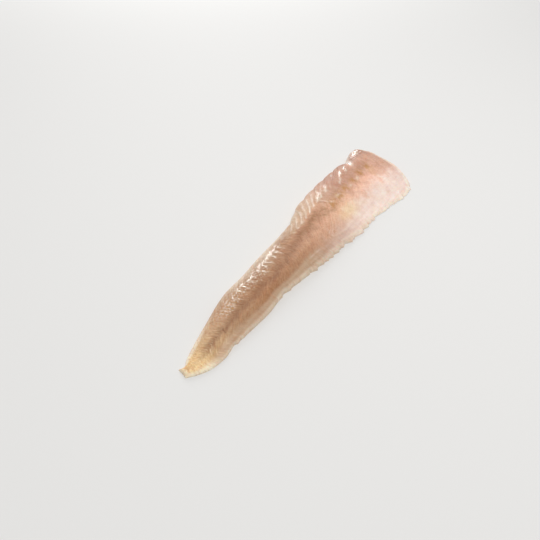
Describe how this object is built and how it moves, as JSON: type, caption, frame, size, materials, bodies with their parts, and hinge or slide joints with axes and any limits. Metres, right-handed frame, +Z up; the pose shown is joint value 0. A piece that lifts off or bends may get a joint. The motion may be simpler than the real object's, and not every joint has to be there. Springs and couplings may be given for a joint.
{
  "type": "ling fillet",
  "caption": "Raw skinned white fish fillet, bone side up: long, tapering to a narrow tail, with a thick loin, a midline groove, swept muscle flakes and a thin belly flap.",
  "frame": {"origin": "on the face it rests on, under the middle of its bounding box", "axes": "+X from the tail to the head end, +Y to the back edge, +Z up out of the bone side"},
  "size_m": [0.494, 0.1012, 0.0234],
  "materials": {
    "flesh": "wet raw fish flesh, pale pinkish beige, golden at the tail"
  },
  "bodies": {
    "root": {"fillet": "flesh"}
  },
  "joints": []
}
